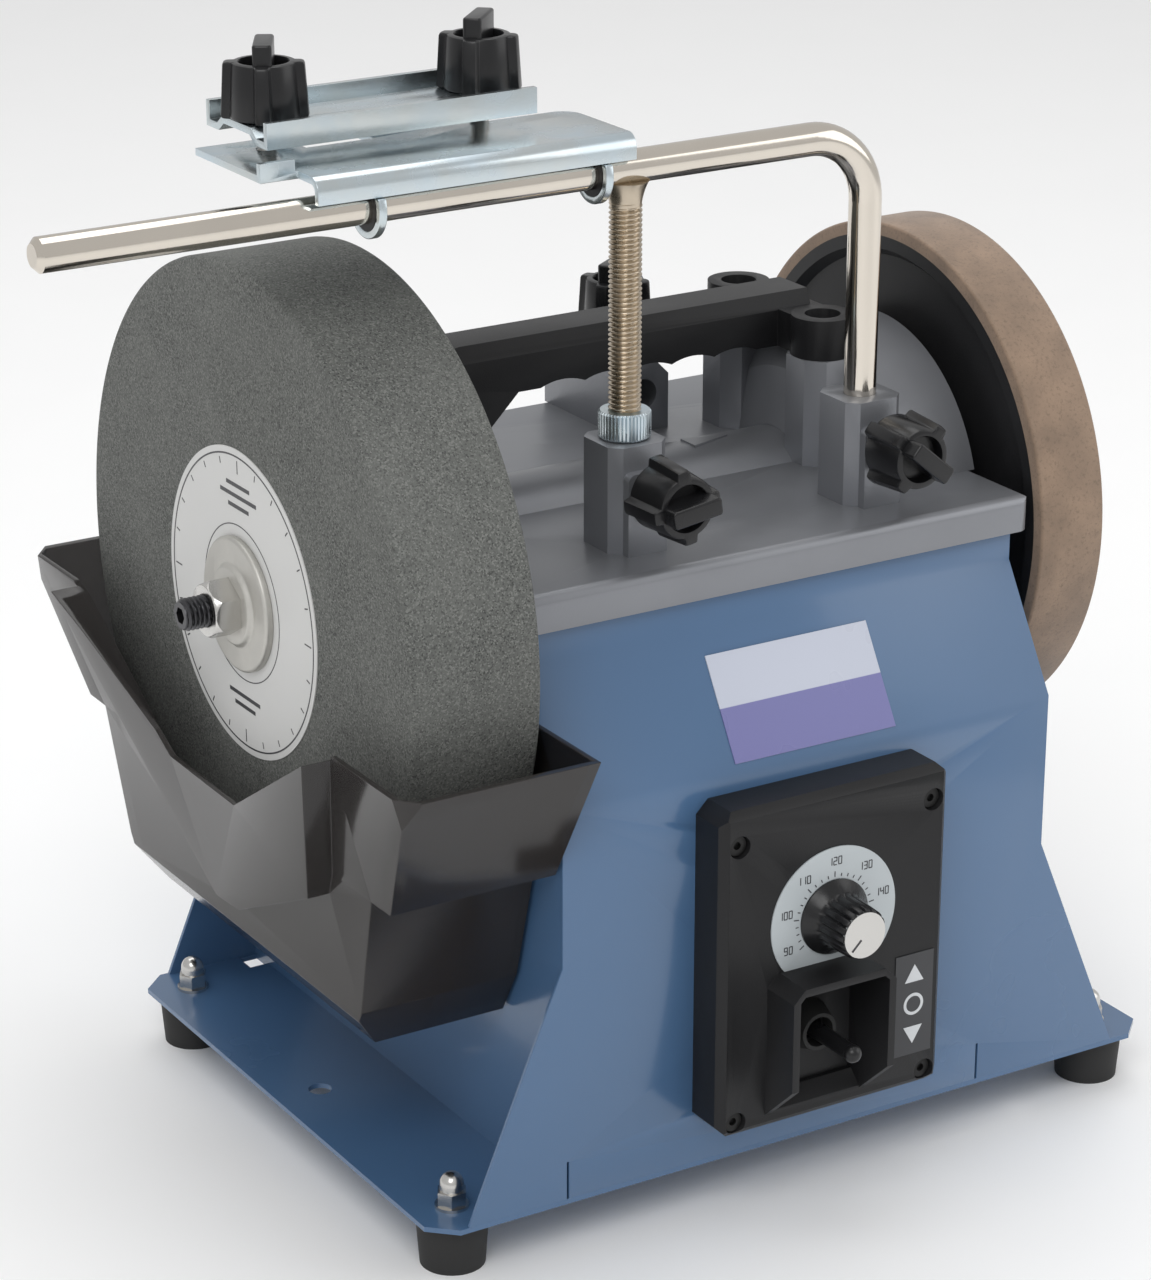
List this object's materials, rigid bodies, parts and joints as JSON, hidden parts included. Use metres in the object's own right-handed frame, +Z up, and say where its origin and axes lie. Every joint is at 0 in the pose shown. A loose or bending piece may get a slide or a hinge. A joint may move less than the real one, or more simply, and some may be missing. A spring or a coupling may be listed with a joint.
{
  "type": "wet grinder",
  "caption": "Wet grinder with a stone wheel in a trough, a leather honing wheel, a steel housing, a support bar with a clamping jig and a speed control.",
  "frame": {"origin": "centre of the whole machine's footprint box, on the floor under the feet", "axes": "+X along the shaft from the stone to the leather wheel, -Y the control side, +Z up"},
  "size_m": [0.4298, 0.3165, 0.4308],
  "materials": {
    "blue_paint": "gloss",
    "cast_cover": "satin",
    "black_moulding": "matte",
    "black_rubber": "matte",
    "bright_steel": "satin",
    "plated_bar": "polished",
    "zinc_plate": "satin",
    "dark_steel": "satin",
    "grinding_stone": "rough",
    "paper": "matte",
    "leather": "satin",
    "bronze": "satin",
    "smoke_plastic": "gloss",
    "dial_print": "satin",
    "symbol_print": "satin",
    "label_print": "satin",
    "board_green": "satin"
  },
  "bodies": {
    "frame": {"base_plate": "blue_paint", "front_panel": "blue_paint", "rear_panel": "blue_paint", "left_wall": "blue_paint", "right_wall": "blue_paint", "rubber_feet": "black_rubber", "foot_bolts": "dark_steel", "acorn_nuts": "bright_steel", "top_cover": "cast_cover", "shaft_ridge": "cast_cover", "cover_posts": "cast_cover", "carry_handle": "black_moulding", "handle_screws": "dark_steel", "control_box": "black_moulding", "box_screws": "dark_steel", "dial_plate": "dial_print", "speed_pot": "dark_steel", "control_board": "board_green", "switch_body": "black_moulding", "boot_ring": "black_rubber", "symbol_label": "symbol_print", "front_label": "label_print", "capacitor": "dark_steel", "inlet_grommet": "black_rubber", "shaft_bushes": "bronze", "motor_can": "dark_steel", "motor_caps": "cast_cover", "motor_bracket": "zinc_plate", "bracket_bolts": "bright_steel"},
    "wheel_shaft": {"main_shaft": "dark_steel", "stone_wheel": "grinding_stone", "paper_disc": "paper", "wheel_flanges": "bright_steel", "wheel_nut": "bright_steel", "shaft_spacers": "bright_steel", "drive_wheel": "black_moulding", "drive_ring": "black_rubber", "honing_core": "black_moulding", "leather_ring": "leather", "finger_nut": "black_moulding"},
    "motor_rotor": {"rotor": "dark_steel", "drive_roller": "bright_steel"},
    "bar": {"support_bar": "plated_bar", "threaded_leg": "plated_bar"},
    "nut": {"height_nut": "zinc_plate"},
    "front_clamp_left": {"front_knob_left": "black_moulding"},
    "front_clamp_right": {"front_knob_right": "black_moulding"},
    "rear_clamp_left": {"rear_knob_left": "black_moulding"},
    "rear_clamp_right": {"rear_knob_right": "black_moulding"},
    "jig_slider": {"jig_liners": "black_moulding"},
    "jig": {"jig_plate": "zinc_plate", "jig_hooks": "zinc_plate", "jig_studs": "bright_steel"},
    "clamp": {"jig_clamp": "zinc_plate"},
    "clamp_knob_left": {"jig_knob_left": "black_moulding"},
    "clamp_knob_right": {"jig_knob_right": "black_moulding"},
    "trough": {"water_trough": "smoke_plastic"},
    "dial_knob": {"speed_knob": "black_moulding", "knob_cap": "bright_steel"},
    "toggle": {"toggle_lever": "black_moulding"}
  },
  "joints": [
    {"name": "wheel_spin", "type": "hinge", "parent": "frame", "child": "wheel_shaft", "pos_m": [0.05155, 0.00725, 0.224], "axis": [1, 0, 0], "continuous": true},
    {"name": "rotor_spin", "type": "hinge", "parent": "frame", "child": "motor_rotor", "pos_m": [0.05155, 0.02925, 0.16146], "axis": [1, 0, 0], "continuous": true},
    {"name": "bar_height", "type": "slide", "parent": "frame", "child": "bar", "axis": [0, 0, 1], "range_m": [-0.01, 0.045]},
    {"name": "nut_turn", "type": "hinge", "parent": "frame", "child": "nut", "pos_m": [0.0075, -0.05705, 0.2835], "axis": [0, 0, 1], "range_deg": [-9260, 2060]},
    {"name": "front_clamp_left_turn", "type": "hinge", "parent": "frame", "child": "front_clamp_left", "pos_m": [0.0075, -0.07275, 0.2685], "axis": [0, -1, 0], "range_deg": [-180, 180]},
    {"name": "front_clamp_right_turn", "type": "hinge", "parent": "frame", "child": "front_clamp_right", "pos_m": [0.1091, -0.07275, 0.2685], "axis": [0, -1, 0], "range_deg": [-180, 180]},
    {"name": "rear_clamp_left_turn", "type": "hinge", "parent": "frame", "child": "rear_clamp_left", "pos_m": [-0.0183, 0.07075, 0.2722], "axis": [0, 0, 1], "range_deg": [-180, 180]},
    {"name": "rear_clamp_right_turn", "type": "hinge", "parent": "frame", "child": "rear_clamp_right", "pos_m": [0.0833, 0.07075, 0.2722], "axis": [0, 0, 1], "range_deg": [-180, 180]},
    {"name": "jig_travel", "type": "slide", "parent": "bar", "child": "jig_slider", "axis": [1, 0, 0], "range_m": [-0.11, 0.002]},
    {"name": "jig_tilt", "type": "hinge", "parent": "jig_slider", "child": "jig", "pos_m": [-0.0055, -0.05705, 0.3805], "axis": [1, 0, 0], "range_deg": [-20, 50]},
    {"name": "clamp_knob_left_turn", "type": "hinge", "parent": "clamp", "child": "clamp_knob_left", "pos_m": [-0.1105, -0.01727, 0.40502], "axis": [0, 0, 1], "range_deg": [-1622, 2]},
    {"name": "clamp_knob_right_turn", "type": "hinge", "parent": "clamp", "child": "clamp_knob_right", "pos_m": [-0.0275, -0.01727, 0.40502], "axis": [0, 0, 1], "range_deg": [-1622, 2]},
    {"name": "clamp_close", "type": "slide", "parent": "jig", "child": "clamp", "axis": [0, 0, 1], "range_m": [-0.0045, 0]},
    {"name": "trough_lift", "type": "slide", "parent": "frame", "child": "trough", "axis": [0, 0, 1], "range_m": [0, 0.0035]},
    {"name": "speed_turn", "type": "hinge", "parent": "frame", "child": "dial_knob", "pos_m": [0.04915, -0.13295, 0.117], "axis": [0, -1, 0], "range_deg": [0, 270]},
    {"name": "switch_toggle", "type": "hinge", "parent": "frame", "child": "toggle", "pos_m": [0.04355, -0.12445, 0.0725], "axis": [1, 0, 0], "range_deg": [-12, 12]}
  ],
  "couplings": [
    {"joint": "rotor_spin", "follows": "wheel_spin", "ratio": -7.25},
    {"joint": "nut_turn", "follows": "bar_height", "rad_per_m": -3590.4},
    {"joint": "clamp_knob_left_turn", "follows": "clamp_close", "rad_per_m": 6283.2},
    {"joint": "clamp_knob_right_turn", "follows": "clamp_close", "rad_per_m": 6283.2}
  ]
}
